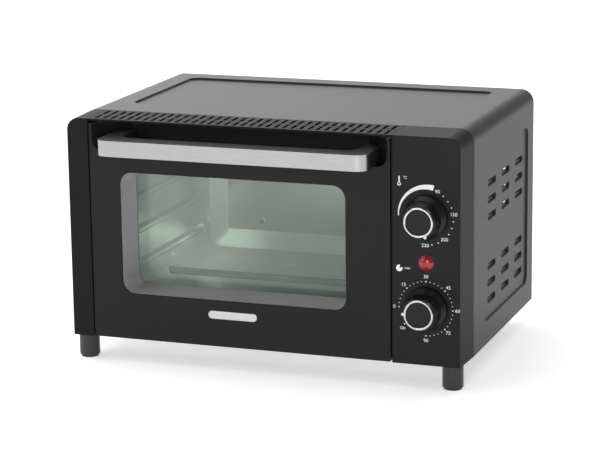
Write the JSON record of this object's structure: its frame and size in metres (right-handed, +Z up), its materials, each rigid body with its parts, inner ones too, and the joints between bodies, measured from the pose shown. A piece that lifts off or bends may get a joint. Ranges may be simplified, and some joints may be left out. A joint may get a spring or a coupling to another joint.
{
  "type": "toaster oven",
  "caption": "Compact bench-top toaster oven with a drop-down glazed door, a bar handle, two rotary dials, a lamp and a vented folded housing.",
  "frame": {"origin": "centre of the outline at the underside of the feet", "axes": "+X to the oven's right as seen from the front, the front faces -Y, +Z up"},
  "size_m": [0.365, 0.28, 0.223],
  "materials": {
    "housing_paint": "satin metallic dark grey powder coat",
    "back_steel": "matte black coated sheet",
    "galvanised_steel": "bare zinc-coated sheet",
    "bezel_plastic": "fine matte black",
    "panel_plastic": "smooth matte black, printed dials",
    "cavity_steel": "aluminised sheet, soft sheen",
    "screw_steel": "plain zinc-plated",
    "element_steel": "heat-dulled steel sheath",
    "ceramic": "unglazed white ceramic",
    "brass_contact": "plain",
    "control_ceramic": "steatite body",
    "bell_steel": "nickel plated",
    "red_lens": "translucent red, fluted",
    "lamp_plastic": "moulded lamp holder",
    "knob_plastic": "semi-gloss black",
    "chrome_trim": "bright plated",
    "cap_plastic": "fine satin disc",
    "foot_plastic": "moulded black",
    "black_rubber": "matte",
    "door_paint": "matte black",
    "reveal_steel": "satin grey",
    "window_glass": "clear tempered, faint green",
    "seal_silicone": "matte silicone",
    "handle_plastic": "matte black",
    "brushed_trim": "brushed silver strip"
  },
  "bodies": {
    "body": {"housing": "housing_paint", "back_panel": "back_steel", "base_plate": "galvanised_steel", "front_frame": "bezel_plastic", "vent_grille": "bezel_plastic", "control_panel": "panel_plastic", "cavity_front": "cavity_steel", "cavity_left_wall": "cavity_steel", "cavity_right_wall": "cavity_steel", "cavity_roof": "cavity_steel", "cavity_floor": "cavity_steel", "cavity_back": "cavity_steel", "rear_standoffs": "galvanised_steel", "cavity_screws": "screw_steel", "cavity_rails": "galvanised_steel", "heat_shield": "galvanised_steel", "frame_screws": "screw_steel", "grille_screws": "screw_steel", "upper_element": "element_steel", "lower_element": "element_steel", "element_bushings": "ceramic", "element_terminals": "brass_contact", "terminal_block": "ceramic", "terminal_screws": "brass_contact", "thermal_fuse": "brass_contact", "fuse_clip": "galvanised_steel", "cord_gland": "black_rubber", "thermostat_body": "control_ceramic", "timer_body": "galvanised_steel", "timer_bell": "bell_steel", "indicator_lens": "red_lens", "indicator_lamp": "lamp_plastic", "dial_screws": "screw_steel", "feet": "foot_plastic", "foot_pads": "black_rubber", "foot_screws": "screw_steel", "back_screws": "screw_steel", "base_screws": "screw_steel", "hinge_brackets": "galvanised_steel", "hinge_screws": "screw_steel"},
    "door": {"door_shell": "door_paint", "door_reveal": "reveal_steel", "door_glass": "window_glass", "glass_seal": "seal_silicone", "door_back_plate": "cavity_steel", "door_screws": "screw_steel", "handle": "handle_plastic", "handle_trim": "brushed_trim", "handle_screws": "screw_steel", "hinge_pins": "screw_steel"},
    "temperature_dial": {"temperature_knob": "knob_plastic", "temperature_knob_ring": "chrome_trim", "temperature_knob_cap": "cap_plastic", "thermostat_shaft": "screw_steel"},
    "timer_dial": {"timer_knob": "knob_plastic", "timer_knob_ring": "chrome_trim", "timer_knob_cap": "cap_plastic", "timer_shaft": "screw_steel"}
  },
  "joints": [
    {"name": "door_hinge", "type": "hinge", "parent": "body", "child": "door", "pos_m": [0, -0.098, 0.032], "axis": [1, 0, 0], "range_deg": [0, 85]},
    {"name": "temperature_turn", "type": "hinge", "parent": "body", "child": "temperature_dial", "pos_m": [0.1512, -0.112, 0.1528], "axis": [0, 1, 0], "range_deg": [-244, 26]},
    {"name": "timer_turn", "type": "hinge", "parent": "body", "child": "timer_dial", "pos_m": [0.1512, -0.112, 0.0724], "axis": [0, 1, 0], "range_deg": [-38, 270]}
  ]
}
